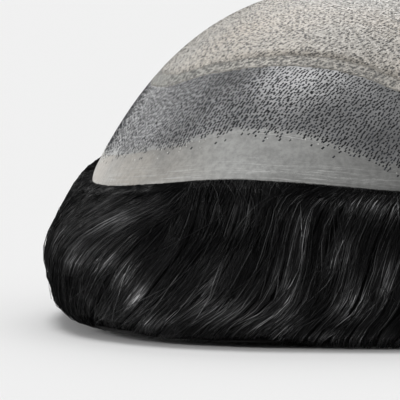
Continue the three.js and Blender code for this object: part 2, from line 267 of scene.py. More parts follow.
class HairSettings(bpy.types.PropertyGroup):
    """Form and colour of the hair."""
    bulge: length_property("Bulge", "How far the hair stands beyond the rim", 11.8 * MM)
    inset: length_property("Inset", "How far it reaches inside the rim", 9 * MM)
    puff: length_property("Puff", "Rise of the hair behind the rim", 3 * MM)
    clearance: length_property("Clearance", "Between the base and the hair", 1.7 * MM)
    tuck: length_property("Tuck", "Height of the roots above the rim", 13 * MM)
    root_thickness: length_property("Root thickness", "Thickness of the tucked roots", 5 * MM)
    crown_thickness: length_property("Crown hair", "Thickness under the crown", 4 * MM)
    lock_depth: length_property("Lock depth", "Depth of the valleys between locks", 3 * MM)
    foot: length_property("Foot length", "How far the feet of strands reach out", 3 * MM)
    sweep: angle_property("Sweep", "Turn of a lock on its way down", 16.0)
    sweep_bias: share_property("Sweep bias", "More sweep on the side it runs to", 0.9)
    sweep_wave: share_property("Sweep wave", "Faster at the roots and feet", 0.1)
    strand: length_property("Strand", "Diameter of a strand", 0.185 * MM)
    strand_bed: length_property("Strand bed", "Depth of the mass of hair under the outer strands", 3.6 * MM)
    tress: angle_property("Tress", "Mean width of a tress round the rim", 2.3)
    colour: colour_property("Hair colour", "Base colour of the strands", (0.0065, 0.0065, 0.007))
    # Pale colour of the few pale strands, and of the painted highlight on the hair.
    pale_strand_and_painted_highlight: colour_property("Light strand", "Colour of the lightest strands", (0.75, 0.75, 0.76))


def stretch_of(stops, at):
    """Row of the stretch between stops that holds each value, its length, and the share of it passed."""
    row = np.clip(np.searchsorted(stops, at, side="right") - 1, 0, len(stops) - 2)
    span = stops[row + 1] - stops[row]
    return row, span, np.clip((at - stops[row]) / span, 0, 1)


def hermite(u, span, near, far, near_slope, far_slope):
    """Cubic at the share u of a span, from its values and slopes at the near and the far end."""
    return ((2 * u**3 - 3 * u**2 + 1) * near + (3 * u**2 - 2 * u**3) * far
            + (u**3 - 2 * u**2 + u) * span * near_slope + (u**3 - u**2) * span * far_slope)


def cubic_through(xs, ys, at):
    """Cubic through the rows (xs, ys), with the slope between each row's two neighbours, flat at the ends."""
    slopes = np.zeros_like(ys)
    slopes[1:-1] = (ys[2:] - ys[:-2]) / (xs[2:] - xs[:-2])
    row, span, u = stretch_of(xs, at)
    return hermite(u, span, ys[row], ys[row + 1], slopes[row], slopes[row + 1])


def smooth_step(x):
    """3x^2 - 2x^3 between 0 and 1."""
    x = np.clip(x, 0, 1)
    return x * x * (3 - 2 * x)


def within_turn(angle):
    """The same angle from -180 up to 180 degrees."""
    return np.mod(angle + HALF_TURN, FULL_TURN) - HALF_TURN


def unit(vectors):
    """Vectors of length 1 along the last axis."""
    return vectors / np.maximum(np.linalg.norm(vectors, axis=-1, keepdims=True), 1e-9)


def walked_along(points):
    """Distance walked through a line of points up to each."""
    steps = np.linalg.norm(np.diff(points, axis=-2), axis=-1)
    return np.concatenate([0 * steps[..., :1], np.cumsum(steps, axis=-1)], axis=-1)


def rim_value(angle, column):
    """One column of the rim table at polar angles in degrees."""
    turned = np.mod(angle - FRONT_ANGLE, FULL_TURN)
    from_front = np.minimum(turned, FULL_TURN - turned)
    return cubic_through(RIM_TABLE[:, 0], RIM_TABLE[:, RIM_COLUMNS.index(column)], from_front)


class Dome:
    """The base's surface: a superellipse outline shrunk towards the crown.

    A point at share s of the outline has the height rim + lift s^4 + rise (1 - s^2)(1 + fullness s^2).
    """
    TABLE_ANGLES = np.linspace(-HALF_TURN, HALF_TURN, 721)
    TABLE_SHARES = np.linspace(1, 0, 241)
    STEP = 1e-3

    def __init__(self, base):
        self.base = base
        angle, share = np.meshgrid(self.TABLE_ANGLES, self.TABLE_SHARES, indexing="ij")
        self.walked = walked_along(self.point(angle, share))

    def radius(self, angle):
        turn = np.radians(angle)
        across = np.abs(np.cos(turn) / self.base.half_width)
        along = np.abs(np.sin(turn) / self.base.half_length)
        power = np.where(np.sin(turn) < 0, self.base.front_squareness, self.base.back_squareness)
        return (across**power + along**power) ** (-1 / power)

    def rim(self, angle):
        return self.base.rim_height + self.base.lift * rim_value(angle, "lift")

    def polar(self, angle, radius, height):
        turn = np.radians(angle)
        x = self.base.centre_x + radius * np.cos(turn)
        y = self.base.centre_y + radius * np.sin(turn)
        return np.stack(np.broadcast_arrays(x, y, height), axis=-1)

    def point(self, angle, share):
        rise = self.base.crown_rise * (1 - share**2) * (1 + self.base.fullness * share**2)
        height = self.base.rim_height + (self.rim(angle) - self.base.rim_height) * share**4 + rise
        return self.polar(angle, self.radius(angle) * share, height)

    def frame_at(self, angle, share):
        """Unit vectors round the dome, up it and out of it, from short steps along the surface."""
        share = np.maximum(share, 2 * self.STEP)
        round_it = unit(self.point(angle + self.STEP, share) - self.point(angle - self.STEP, share))
        up_it = self.point(angle, share - self.STEP) - self.point(angle, share + self.STEP)
        out = unit(np.cross(round_it, up_it))
        return round_it, np.cross(out, round_it), out

    def share_at(self, angle, distance):
        """Share of the outline at a distance up the surface from the rim, read from the walked table."""
        angle, distance = np.broadcast_arrays(angle, distance)
        columns = len(self.TABLE_ANGLES) - 1
        turned = np.mod(angle + HALF_TURN, FULL_TURN) * columns / FULL_TURN
        low = np.floor(turned).astype(int) % columns
        part = (turned - np.floor(turned))[..., None]
        walked = self.walked[low] * (1 - part) + self.walked[low + 1] * part
        row = np.clip((walked <= distance[..., None]).sum(axis=-1) - 1, 0, walked.shape[-1] - 2)
        near = np.take_along_axis(walked, row[..., None], axis=-1)[..., 0]
        far = np.take_along_axis(walked, row[..., None] + 1, axis=-1)[..., 0]
        u = np.clip((distance - near) / (far - near), 0, 1)
        return self.TABLE_SHARES[row] * (1 - u) + self.TABLE_SHARES[row + 1] * u

    def under(self, angle, share, depth):
        """Points a depth under the surface, along its normal."""
        return self.point(angle, share) - self.frame_at(angle, share)[2] * np.asarray(depth)[..., None]

    def border_end(self, angle):
        return self.base.border * rim_value(angle, "border")

    def band_end(self, angle):
        return self.border_end(angle) + self.base.band * rim_value(angle, "band")

    def hem_end(self, angle):
        return self.band_end(angle) + self.base.hem


class Curtain:
    """The hair round the rim: a section carried round the outline, with locks that sweep to -X."""
    # Fall over which the slope of the section is taken, and the least height above the floor.
    STEP = 0.004
    LEAST_HEIGHT = 0.1 * MM

    def __init__(self, dome, hair):
        self.dome = dome
        self.hair = hair
        widths = np.tile(LOCK_TABLE[:, 0], LOCK_COUNT // len(LOCK_TABLE))
        edges = np.concatenate([[0], np.cumsum(widths)]) * FULL_TURN / widths.sum()
        self.lock_edges = FIRST_LOCK_ANGLE + edges

    def column(self, name, fall):
        return cubic_through(CURTAIN_TABLE[:, 0], CURTAIN_TABLE[:, CURTAIN_COLUMNS.index(name)], fall)

    def flow(self, column, angle):
        return cubic_through(FLOW_TABLE[:, 0], FLOW_TABLE[:, column], within_turn(angle))

    def painted_highlight(self, angle, fall):
        """Painted highlight: how much paler the hair is painted, in Gaussian spots at the table's places,
        weaker elsewhere.
        """
        folded = FRONT_ANGLE - np.abs(np.mod(angle + HALF_TURN, HALF_TURN) + FRONT_ANGLE)
        total = 0 * folded
        for at_angle, at_fall, reach, fall_reach, strength in PAINTED_HIGHLIGHT_TABLE:
            far = ((folded - at_angle) / reach) ** 2 + ((fall - at_fall) / fall_reach) ** 2
            total += strength * np.exp(-far)
        off_quarter = np.abs(within_turn(angle - PAINTED_HIGHLIGHT_QUARTER[0])) - PAINTED_HIGHLIGHT_QUARTER[1]
        return total * (1 - PAINTED_HIGHLIGHT_LOSS * smooth_step(off_quarter / PAINTED_HIGHLIGHT_FADE))

    def combed(self, start, fall):
        """Degrees that a combed strand has turned at a fall: cubics through the table, both ways."""
        turned = [self.flow(column, start) for column in range(1, len(FLOW_FALLS))]
        stops = np.stack([0 * start] + turned, axis=-1)
        slopes = np.gradient(stops, FLOW_FALLS, axis=-1)
        row, span, u = stretch_of(FLOW_FALLS, fall)
        ends = [np.take_along_axis(table, at, -1) for table in (stops, slopes) for at in (row, row + 1)]
        return hermite(u, span, *ends)

    def turn(self, start, fall):
        """Degrees that a lock has swept: sin(a)(1 - bias cos(a)) of the sweep, fastest at roots and feet."""
        a = np.radians(start)
        reach = np.degrees(self.hair.sweep) * np.sin(a) * (1 - self.hair.sweep_bias * np.cos(a))
        return reach * (fall + self.hair.sweep_wave * np.sin(2 * np.pi * fall))

    def valley(self, start):
        """The valley's depth at a lock's edges and 0 on its crest, which is a little off its middle."""
        turned = FIRST_LOCK_ANGLE + np.mod(start - FIRST_LOCK_ANGLE, FULL_TURN)
        lock, _, where = stretch_of(self.lock_edges, turned)
        return np.abs(2 * where ** 0.8 - 1) ** 1.5 * LOCK_TABLE[lock % len(LOCK_TABLE), 1]

    def feet(self, angle, reach, fall):
        """Rise of the feet above the floor, less where a strand reaches out."""
        return self.flow(-1, angle) * MM * (1.15 - 0.3 * reach) * fall**8

    def section(self, angle, shape, fall):
        """Radius and height of the outer surface, where shape is a valley's depth and the reach of a foot."""
        valley, foot = shape
        out = self.hair.bulge * self.column("out", fall)
        out = out - self.hair.lock_depth * valley * self.column("relief", fall)
        out = out + self.hair.foot * foot * fall**4
        puff = self.hair.puff * rim_value(angle, "puff") * self.column("puff", fall)
        height = self.dome.rim(angle) * self.column("out_height", fall) + puff
        return self.dome.radius(angle) + out, height + self.feet(angle, foot, fall)

    def outer(self, angle, shape, fall, lift):
        """Points of the outer surface, raised by lift along the section's normal."""
        radius, height = self.section(angle, shape, fall)
        radius_after, height_after = self.section(angle, shape, np.minimum(fall + self.STEP, 1.0))
        radius_before, height_before = self.section(angle, shape, np.maximum(fall - self.STEP, FIRST_FALL))
        along_out = radius_after - radius_before
        along_up = height_after - height_before
        length = np.maximum(np.hypot(along_out, along_up), 1e-9)
        height = np.maximum(height + lift * along_out / length, self.LEAST_HEIGHT)
        return self.dome.polar(angle, radius - lift * along_up / length, height)

    def inner(self, angle, shape, fall):
        radius = self.dome.radius(angle) - self.hair.inset * self.column("inset", fall)
        height = self.dome.rim(angle) * self.column("in_height", fall)
        return self.dome.polar(angle, radius, height + self.feet(angle, shape[1], fall))


def tinted(colour, times):
    return tuple(times * c for c in colour)


def rgba(colour):
    """Four channels from a grey or a colour. A socket is passed on as it is."""
    if isinstance(colour, bpy.types.NodeSocket):
        return colour
    return (*colour, 1.0) if hasattr(colour, "__len__") else (colour, colour, colour, 1.0)


class Look:
    """One material: a Principled shader with its even values on its own sockets, and nodes to feed it."""

    def __init__(self, name, roughness, specular=0.5, sheen=0.0):
        self.material = bpy.data.materials.new(name)
        self.material.use_nodes = True
        self.shader = self.material.node_tree.nodes["Principled BSDF"]
        self.shader.inputs["Roughness"].default_value = roughness
        self.shader.inputs["Specular IOR Level"].default_value = specular
        self.shader.inputs["Sheen Weight"].default_value = sheen
        self.shader.inputs["Sheen Roughness"].default_value = 0.3

    def link(self, source, target):
        self.material.node_tree.links.new(source, target)

    def node(self, kind, inputs=None, **settings):
        """Node with its settings, and its inputs set or linked."""
        node = self.material.node_tree.nodes.new(kind)
        for name, value in settings.items():
            setattr(node, name, value)
        for key, value in (inputs or {}).items():
            if isinstance(value, bpy.types.NodeSocket):
                self.link(value, node.inputs[key])
            else:
                node.inputs[key].default_value = value
        return node

    def place(self, kind):
        """Texture coordinates of one kind."""
        return self.node("ShaderNodeTexCoord").outputs[kind]

    def mapped(self, kind, scale, turn=0.0, way="POINT"):
        """Texture coordinates that are scaled and turned, or turned and divided by the scale for TEXTURE."""
        return self.node("ShaderNodeMapping", {
            "Vector": self.place(kind), "Scale": scale, "Rotation": (0.0, 0.0, turn)},
            vector_type=way).outputs[0]

    def weave(self, cell):
        """UV coordinates in cells of a length and a width, whose length runs at a slant to the rim."""
        return self.mapped("UV", (*cell, 1.0), WEAVE_SLANT, "TEXTURE")

    def part(self, vector, axis):
        return self.node("ShaderNodeSeparateXYZ", {"Vector": vector}).outputs[axis]

    def noise(self, vector, scale, detail=2.0, roughness=0.5, distortion=0.0):
        return self.node("ShaderNodeTexNoise", {
            "Vector": vector, "Scale": scale, "Detail": detail, "Roughness": roughness,
            "Distortion": distortion}).outputs["Fac"]

    def reckon(self, operation, first, second=0.5, clamp=False):
        """Result of one Math node."""
        inputs = {0: first, 1: second}
        return self.node("ShaderNodeMath", inputs, operation=operation, use_clamp=clamp).outputs[0]

    def fade(self, value, start, end, to=(0.0, 1.0), way="LINEAR"):
        """Number that goes from to's first to its second, as the value goes from start to end."""
        return self.node("ShaderNodeMapRange", {
            "Value": value, "From Min": start, "From Max": end, "To Min": to[0], "To Max": to[1]},
            interpolation_type=way).outputs[0]

    def ramp(self, value, *stops):
        """Colour ramp through stops of a position and a grey or colour."""
        node = self.node("ShaderNodeValToRGB", {"Fac": value})
        elements = node.color_ramp.elements
        while len(elements) < len(stops):
            elements.new(0.5)
        for element, (position, colour) in zip(elements, stops):
            element.position = position
            element.color = rgba(colour)
        return node.outputs["Color"]

    def mix(self, factor, first, second, blend="MIX"):
        """Colour between two. Sockets 6 and 7 of a Mix node are its colours, and 2 is the result."""
        inputs = {0: factor, 6: rgba(first), 7: rgba(second)}
        return self.node("ShaderNodeMix", inputs, data_type="RGBA", blend_type=blend).outputs[2]

    def times(self, first, second):
        return self.mix(1.0, first, second, "MULTIPLY")

    def painted_light_across_width(self, shades):
        """Painted light and shade: grey by the distance from the middle of the width."""
        off_middle = self.reckon("ABSOLUTE", self.part(self.mapped("Object", (10.0, 10.0, 10.0)), "X"))
        return self.ramp(off_middle, *shades)

    def beside_middle(self):
        """0 in the middle of the width and 1 towards the sides, where the hem stands out from the net."""
        return self.fade(self.reckon("ABSOLUTE", self.part(self.place("Object"), "X")), *HEM_FADES)

    def from_edges(self):
        """Millimetres above a ring's lower edge and below its upper edge, from its second UV map."""
        edges = self.node("ShaderNodeUVMap", uv_map="Edges").outputs["UV"]
        to_millimetres = {"Vector": edges, "Scale": (1 / MM, 1 / MM, 1.0)}
        scaled = self.node("ShaderNodeMapping", to_millimetres).outputs[0]
        return self.part(scaled, "X"), self.part(scaled, "Y")

    def finished(self, colour, roughness=None, height=None, strength=1.0, depth=0.0):
        """The material, with its colour, and its roughness and relief where it has them, wired in."""
        self.link(colour, self.shader.inputs["Base Color"])
        if roughness is not None:
            self.link(roughness, self.shader.inputs["Roughness"])
        if height is not None:
            relief = self.node("ShaderNodeBump", {"Height": height, "Strength": strength, "Distance": depth})
            self.link(relief.outputs["Normal"], self.shader.inputs["Normal"])
        return self.material


def net_material(finish):
    """Fine net: slanting pale threads and dark holes, a little warmer or cooler from place to place."""
    look = Look("net", 0.5, sheen=0.5)
    body = look.place("Object")
    cell = look.node("ShaderNodeTexVoronoi", {
        "Vector": look.weave(NET_CELL), "Scale": 1.0, "Randomness": 0.6}).outputs["Distance"]
    thread = look.ramp(cell, (0.12, 0.1), (0.48, 0.56))
    fleck = look.noise(body, 1000.0, detail=3.0, roughness=0.7)
    cloud = look.noise(body, 45.0)
    height = look.reckon("MULTIPLY", look.reckon("ADD", thread, fleck), 0.5)
    colour = look.mix(look.ramp(height, (0.4, 0.0), (0.56, 1.0)), finish.net_dark, finish.net_light)
    warmth = look.mix(look.ramp(cloud, (0.35, 0.0), (0.7, 1.0)), NET_COOL, NET_WARM)
    roughness = look.ramp(fleck, (0.42, 0.6), (0.66, 0.24))
    return look.finished(look.times(colour, warmth), roughness, height, 1.0, 0.5 * MM)


def hem_material(finish):
    """Doubled net edge: grey with a close slanting weave at the sides, and like the net in the middle."""
    look = Look("hem", 0.55, specular=0.4, sheen=0.25)
    thread = look.noise(look.weave(HEM_CELL), 1.0, roughness=0.6, distortion=0.3)
    fleck = look.noise(look.place("Object"), 1100.0, detail=3.0, roughness=0.7)
    height = look.reckon("MULTIPLY", thread, fleck)
    weave = look.ramp(height, (0.19, 0.0), (0.31, 1.0))
    at_side = look.mix(weave, tinted(finish.hem_colour, 0.25), tinted(finish.hem_colour, 1.5))
    at_middle = look.mix(weave, finish.net_dark, tinted(finish.net_light, 0.92))
    colour = look.mix(look.beside_middle(), at_middle, at_side)
    return look.finished(colour, height=height, depth=0.5 * MM)


def band_material(finish):
    """Thin satin skin over dark roots: cloudy grey, paler where the knots thin out beside the border, shade
    painted in the middle.
    """
    look = Look("knotted_skin", 0.36, sheen=0.8)
    body = look.place("Object")
    cloud = look.noise(body, 75.0, detail=4.0, roughness=0.6)
    pits = look.noise(body, 800.0)
    dark, light = tinted(finish.band_colour, 0.6), tinted(finish.band_colour, 1.25)
    skin = look.mix(look.ramp(cloud, (0.32, 0.0), (0.68, 1.0)), dark, light)
    # Painted shade: the skin darker towards the middle of the width, and the border's painted light and shade
    # beside it.
    skin = look.times(skin, look.painted_light_across_width(BAND_PAINTED_SHADE))
    border = look.times(finish.border_colour, look.painted_light_across_width(BORDER_PAINTED_LIGHT))
    wander = look.reckon("MULTIPLY", cloud, 4.5)
    depth = look.reckon("SUBTRACT", look.from_edges()[0], wander)
    inside = look.fade(depth, -2.6, 0.8, way="SMOOTHSTEP")
    colour = look.times(look.mix(inside, border, skin), look.ramp(pits, (0.32, 0.75), (0.65, 1.12)))
    roughness = look.ramp(pits, (0.3, 0.4), (0.7, 0.22))
    return look.finished(colour, roughness, pits, 0.5, 0.15 * MM)


def border_material(finish):
    """Clear skin: warm clouds towards -X, fine pale scratches by the rim, a darker edge by the knots, partly
    painted shade, and painted light and shade across the width.
    """
    look = Look("clear_skin", 0.32, sheen=0.25)
    body = look.place("Object")
    along = look.mapped("UV", (75.0, 2600.0, 1.0))
    streak = look.noise(along, 1.0, detail=4.0, roughness=0.7, distortion=0.5)
    cloud = look.noise(body, 60.0, detail=4.0, roughness=0.6)
    grain = look.noise(body, 700.0, detail=4.0, roughness=0.65)
    above, below = look.from_edges()
    dark = tinted(finish.border_colour, 0.78)
    colour = look.mix(look.ramp(cloud, (0.35, 0.0), (0.65, 1.0)), dark, finish.border_colour)
    to_left = look.fade(look.part(body, "X"), -0.045, -0.07)
    warm_here = look.reckon("MULTIPLY", to_left, look.ramp(cloud, (0.3, 0.25), (0.62, 1.0)))
    colour = look.mix(warm_here, colour, finish.border_warm)
    near_rim = look.fade(above, 7.5, 1.0)
    scratches = look.reckon("MULTIPLY", look.ramp(streak, (0.52, 0.0), (0.66, 1.0)), near_rim)
    colour = look.mix(scratches, colour, tinted(finish.border_colour, 1.5))
    # Darker by the knots: partly the dark roots under the skin, partly painted shade.
    roots_and_painted_shade_by_knots = look.fade(below, 2.5, 0.0, to=(1.0, 0.9))
    grey = look.node("ShaderNodeCombineColor", {"Red": roots_and_painted_shade_by_knots, "Green": roots_and_painted_shade_by_knots, "Blue": roots_and_painted_shade_by_knots})
    colour = look.times(colour, grey.outputs["Color"])
    colour = look.times(colour, look.ramp(grain, (0.34, 0.8), (0.64, 1.12)))
    # Painted light and shade across the width: shade in the middle, a highlight at the very sides.
    colour = look.times(colour, look.painted_light_across_width(BORDER_PAINTED_LIGHT))
    roughness = look.ramp(grain, (0.3, 0.42), (0.7, 0.26))
    return look.finished(colour, roughness, look.reckon("ADD", scratches, grain), 0.4, 0.12 * MM)


def knot_material(name, tones):
    """Knots and strokes of thread: each takes its own tone by its random number."""
    look = Look(name, 0.5, specular=0.1)
    return look.finished(look.ramp(look.part(look.place("UV"), "X"), *tones))


def strand_material(hair):
    """Glossy dark hair, near black, with a painted highlight: strands painted paler where the painted
    highlight of each point is high, and a few pale strands.
    """
    look = Look("hair_strands", 0.26, specular=0.16)
    own = look.part(look.place("UV"), "Y")
    swell = look.noise(look.place("Object"), 70.0, detail=1.5)
    ripple = look.noise(look.mapped("UV", (9.0, 60.0, 1.0)), 1.0)
    painted_highlight = look.node("ShaderNodeAttribute", attribute_name="painted_highlight").outputs["Fac"]
    # Painted highlight: how much each strand is painted pale where the hair should catch the light.
    lit = look.reckon("MULTIPLY", painted_highlight, look.ramp(own, (0.0, 0.02), (0.5, 0.15), (1.0, 1.0)))
    lit = look.reckon("MULTIPLY", lit, look.ramp(ripple, (0.38, 0.2), (0.62, 1.0)))
    # A few strands paler by their random number, which is their own tone.
    few = look.ramp(own, (0.93, 0.0), (1.0, 0.12))
    colour = look.mix(look.reckon("ADD", lit, few, clamp=True), hair.colour, hair.pale_strand_and_painted_highlight)
    roughness = look.ramp(own, (0.0, 0.34), (1.0, 0.18))
    height = look.reckon("ADD", swell, look.reckon("MULTIPLY", ripple, 0.22))
    return look.finished(colour, roughness, height, 1.0, 6.0 * MM)


def hair_body_material(hair):
    """The mass of hair under the strands: dark, with fine streaks that follow the locks."""
    look = Look("hair_mass", 0.5, specular=0.12)
    along = look.mapped("UV", (2600.0, 9.0, 1.0))
    fine = look.noise(along, 1.0, detail=3.0, roughness=0.7, distortion=0.2)
    colour = look.mix(look.ramp(fine, (0.35, 0.0), (0.75, 1.0)), hair.colour, tinted(hair.colour, 1.8))
    return look.finished(colour, height=fine, strength=0.8, depth=0.3 * MM)


def yarn_material(finish):
    """Pale sewing yarn with a twist, lost in the net in the middle."""
    look = Look("yarn", 0.7, specular=0.3)
    twist = look.node("ShaderNodeTexWave", {
        "Vector": look.mapped("UV", (1500.0, 1.0, 1.0), 0.7), "Scale": 1.0}).outputs["Fac"]
    at_side = look.mix(twist, tinted(finish.net_light, 0.45), tinted(finish.net_light, 0.8))
    colour = look.mix(look.beside_middle(), tinted(finish.net_light, 0.68), at_side)
    return look.finished(colour, height=twist, strength=0.5, depth=0.1 * MM)


def flat(values, kind=np.float32):
    return np.ascontiguousarray(values, dtype=kind).ravel()


def mesh_object(name, points, triangles, material, uv, turn=None, edges=None, smooth=True):
    """Puts whole arrays of points and triangles into a mesh. uv is one pair for each point.

    Where a triangle crosses the seam at the back, the length of a whole turn at each point is added
    to the low side's U. The triangles are turned over if the volume they close is negative, so that
    faces point out. edges is a second pair for each point, for the distances to a ring's edges.
    """
    a, b, c = np.moveaxis(points[triangles] - points.mean(axis=0), 1, 0)
    if np.einsum("ij,ij->i", a, np.cross(b, c)).sum() < 0:
        triangles = triangles[:, ::-1]
    mesh = bpy.data.meshes.new(name)
    mesh.vertices.add(len(points))
    mesh.vertices.foreach_set("co", flat(points))
    mesh.loops.add(triangles.size)
    mesh.loops.foreach_set("vertex_index", flat(triangles, np.int32))
    mesh.polygons.add(len(triangles))
    mesh.polygons.foreach_set("loop_start", np.arange(0, triangles.size, 3, dtype=np.int32))
    mesh.polygons.foreach_set("use_smooth", np.full(len(triangles), smooth))
    corner_uv = uv[triangles]
    if turn is not None:
        wraps = np.ptp(corner_uv[..., 0], axis=1) > turn[triangles].max(axis=1) / 2
        corner_uv[..., 0] += np.where(wraps[:, None] & (corner_uv[..., 0] < 0), turn[triangles], 0.0)
    mesh.uv_layers.new(name="UVMap").data.foreach_set("uv", flat(corner_uv))
    if edges is not None:
        mesh.uv_layers.new(name="Edges").data.foreach_set("uv", flat(edges[triangles]))
    mesh.materials.append(material)
    mesh.update(calc_edges=True)
    mesh.validate()
    piece = bpy.data.objects.new(name, mesh)
    bpy.context.scene.collection.objects.link(piece)
    return piece


def grid_triangles(columns, loop, closed=True):
    """Triangles of a grid of section loops: each loop closes on itself, and the last column on the first."""
    runs = columns if closed else columns - 1
    column, i = np.meshgrid(np.arange(runs), np.arange(loop), indexing="ij")
    here = column * loop
    after = ((column + 1) % columns) * loop
    j = (i + 1) % loop
    first = np.stack([here + i, here + j, after + i], axis=-1).reshape(-1, 3)
    second = np.stack([after + i, here + j, after + j], axis=-1).reshape(-1, 3)
    return np.concatenate([first, second])


def end_triangles(start, loop):
    """Triangles across one open end of a grid of section loops, between its outer and inner halves."""
    i = np.arange(loop // 2 - 1)
    across = loop - 1 - i
    first = np.stack([i, across, across - 1], axis=-1)
    return start + np.concatenate([first, np.stack([i, across - 1, i + 1], axis=-1)])


def ring_object(name, dome, start_at, end_at, rows, sides, material, rounding=0.0):
    """Ring of the base: section loops down the outer surface to the rim side and back up the inner one.

    The lower edge is rounded by a share of the wall, so that a free edge catches the light. U runs
    round the ring from the front, and V up the surface from the rim.
    """
    wall = dome.base.wall
    from_front = -HALF_TURN + np.arange(sides) * FULL_TURN / sides
    angle = FRONT_ANGLE + from_front
    start, end = start_at(angle)[:, None], end_at(angle)[:, None]
    where = (1 + np.cos(np.linspace(0, np.pi, rows))) / 2
    distance = start + (end - start) * where
    share = dome.share_at(angle[:, None], distance)
    sunk = wall * rounding * (1 - smooth_step((distance - start) / (wall * EDGE_HEIGHT)))
    outer = dome.under(angle[:, None], share, sunk)
    inner = dome.under(angle[:, None], share, wall - sunk * EDGE_INSIDE)
    around = dome.radius(angle)[:, None] * share
    uv = np.stack([np.radians(from_front)[:, None] * around, distance], axis=-1)
    edges = np.stack([distance - start, end - distance], axis=-1)
    loops = np.concatenate([outer, inner[:, ::-1]], axis=1)
    uv, edges, turn = [np.concatenate([x, x[:, ::-1]], axis=1) for x in (uv, edges, 2 * np.pi * around)]
    return mesh_object(name, loops.reshape(-1, 3), grid_triangles(*loops.shape[:2]), material,
                       uv.reshape(-1, 2), turn.ravel(), edges.reshape(-1, 2))


def cap_object(name, dome, start_at, rows, sides, top_depth, bottom_depth, material):
    """Domed cap from a distance from the rim to the crown, between two depths, with a point at each pole."""
    from_front = -HALF_TURN + np.arange(sides) * FULL_TURN / sides
    angle = FRONT_ANGLE + from_front
    start_share = dome.share_at(angle, start_at(angle))
    share = start_share[:, None] * np.linspace(1, 0, rows + 1)[:-1]
    around = dome.radius(angle)[:, None] * share
    height = dome.radius(angle)[:, None] * (1 - share)
    uv = np.stack([np.radians(from_front)[:, None] * around, height], axis=-1)
    outer = dome.under(angle[:, None], share, top_depth)
    inner = dome.under(angle[:, None], share, bottom_depth)
    loops = np.concatenate([inner[:, ::-1], outer], axis=1)
    uv, turn = [np.concatenate([x[:, ::-1], x], axis=1) for x in (uv, 2 * np.pi * around)]
    loop = loops.shape[1]
    quads = grid_triangles(sides, loop)
    at_crown = ((quads % loop) == loop - 1).any(axis=1) & ((quads % loop) == 0).any(axis=1)
    poles = dome.under(np.zeros(2), np.zeros(2), np.array([top_depth, bottom_depth]))
    here = np.arange(sides) * loop
    after = np.roll(here, -1)
    top_fan = np.stack([here + loop - 1, np.full(sides, sides * loop), after + loop - 1], axis=-1)
    low_fan = np.stack([here, after, np.full(sides, sides * loop + 1)], axis=-1)
    points = np.concatenate([loops.reshape(-1, 3), poles])
    triangles = np.concatenate([quads[~at_crown], top_fan, low_fan])
    pole_uv = np.array([[0.0, dome.base.half_width]] * 2)
    return mesh_object(name, points, triangles, material, np.concatenate([uv.reshape(-1, 2), pole_uv]),
                       np.concatenate([turn.ravel(), [1.0, 1.0]]))


def row_angles(dome, distance, spacing, shift, rng):
    """Angles of knots evenly spaced by length along one row round the dome, with a little wander."""
    walked = walked_along(dome.point(ALL_ROUND, dome.share_at(ALL_ROUND, distance)))
    count = int(walked[-1] / spacing)
    places = (np.arange(count) + shift + rng.normal(0, 0.15, count)) / max(count, 1)
    return np.interp(np.mod(places, 1) * walked[-1], walked, ALL_ROUND)


def knot_object(name, dome, angle, distance, size, lean, proud, material, rng, plain=False):
    """Small strokes on the dome, hipped roofs of eight faces or plain ones of four. size is length and width.

    A rectangle of the stroke's length and width lies just under the surface, turned by the lean, and a
    shorter ridge stands proud of it. A plain stroke has one long side of the rectangle, a point across
    from its middle and one that stands proud. Each stroke keeps a random number in its UV.
    """
    count = len(angle)
    share = dome.share_at(angle, distance)
    round_it, up_it, out = dome.frame_at(angle, share)
    turn = lean * np.maximum(-3 * np.sin(np.radians(angle)) - 2, 0.2) + rng.normal(0, 0.13, count)
    along = up_it * np.cos(turn)[:, None] + round_it * np.sin(turn)[:, None]
    across = np.cross(out, along)
    half_long = along * (size[0] / 2 * rng.uniform(0.65, 1.25, count))[:, None]
    half_wide = across * (size[1] / 2 * rng.uniform(0.75, 1.25, count))[:, None]
    middle = dome.point(angle, share)
    low = middle - out * STROKE_FOOT
    ridge = middle + out * proud
    corners = [low + half_long + half_wide, low - half_long + half_wide]
    if plain:
        corners += [low - half_wide, ridge]
    else:
        corners += [low - half_long - half_wide, low + half_long - half_wide]
        corners += [ridge + half_long * RIDGE_LENGTH, ridge - half_long * RIDGE_LENGTH]
    points = np.stack(corners, axis=1)
    first = np.arange(count)[:, None, None] * len(corners)
    triangles = (first + (PLAIN if plain else HIPPED)).reshape(-1, 3)
    own = np.repeat(rng.uniform(0, 1, count), len(corners))
    return mesh_object(name, points.reshape(-1, 3), triangles, material, np.stack([own, own], axis=-1),
                       smooth=False)


